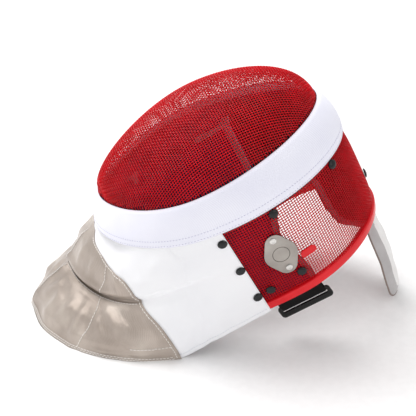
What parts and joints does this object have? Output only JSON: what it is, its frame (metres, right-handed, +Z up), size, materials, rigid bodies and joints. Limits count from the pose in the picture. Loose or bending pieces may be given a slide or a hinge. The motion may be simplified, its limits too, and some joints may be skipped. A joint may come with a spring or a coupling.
{
  "type": "fencing mask",
  "caption": "Face mask of red woven steel mesh with a white seam band, a padded lining, a cloth bib with a metallic cloth front and a padded tongue behind the head, lying face up.",
  "frame": {"origin": "on the floor under the middle of the mask's overall box", "axes": "+X from the bib's front hem toward the tongue behind the head, -Y to the wearer's left side, +Z up as the mask lies face up"},
  "size_m": [0.3956, 0.2154, 0.2641],
  "materials": {
    "mesh_red": "satin enamel on woven wire",
    "rim_red": "glossy soft edging",
    "cloth_white": "ribbed white cloth",
    "lame_silver": "metallic woven cloth",
    "pad_navy": "brushed padding",
    "tongue_cloth": "padded cloth",
    "loop_black": "moulded plastic",
    "webbing_black": "woven webbing",
    "rivet_black": "glossy black enamel",
    "badge_metal": "brushed"
  },
  "bodies": {
    "root": {"front_mesh": "mesh_red", "side_mesh": "mesh_red", "seam_band": "cloth_white", "rim_trim": "rim_red", "bib": "cloth_white", "bib_lame": "lame_silver", "inner_pad": "pad_navy", "tongue": "tongue_cloth", "badge_plate": "badge_metal", "badge_rivet_upper": "badge_metal", "badge_rivet_lower": "badge_metal", "side_tab": "rim_red", "strap_loop_left": "loop_black", "strap_webbing_left": "webbing_black", "rivet_crown": "rivet_black", "rivet_band_cheek_left": "rivet_black", "rivet_band_cheek_right": "rivet_black", "rivet_band_temple_left": "rivet_black", "rivet_band_temple_right": "rivet_black", "rivet_rim_ear_left": "rivet_black", "rivet_rim_ear_right": "rivet_black", "rivet_rim_cheek_left": "rivet_black", "rivet_rim_cheek_right": "rivet_black", "rivet_bib_upper_left": "rivet_black", "rivet_bib_upper_right": "rivet_black", "rivet_bib_middle_left": "rivet_black", "rivet_bib_middle_right": "rivet_black", "rivet_bib_lower_left": "rivet_black", "rivet_bib_lower_right": "rivet_black"}
  },
  "joints": []
}
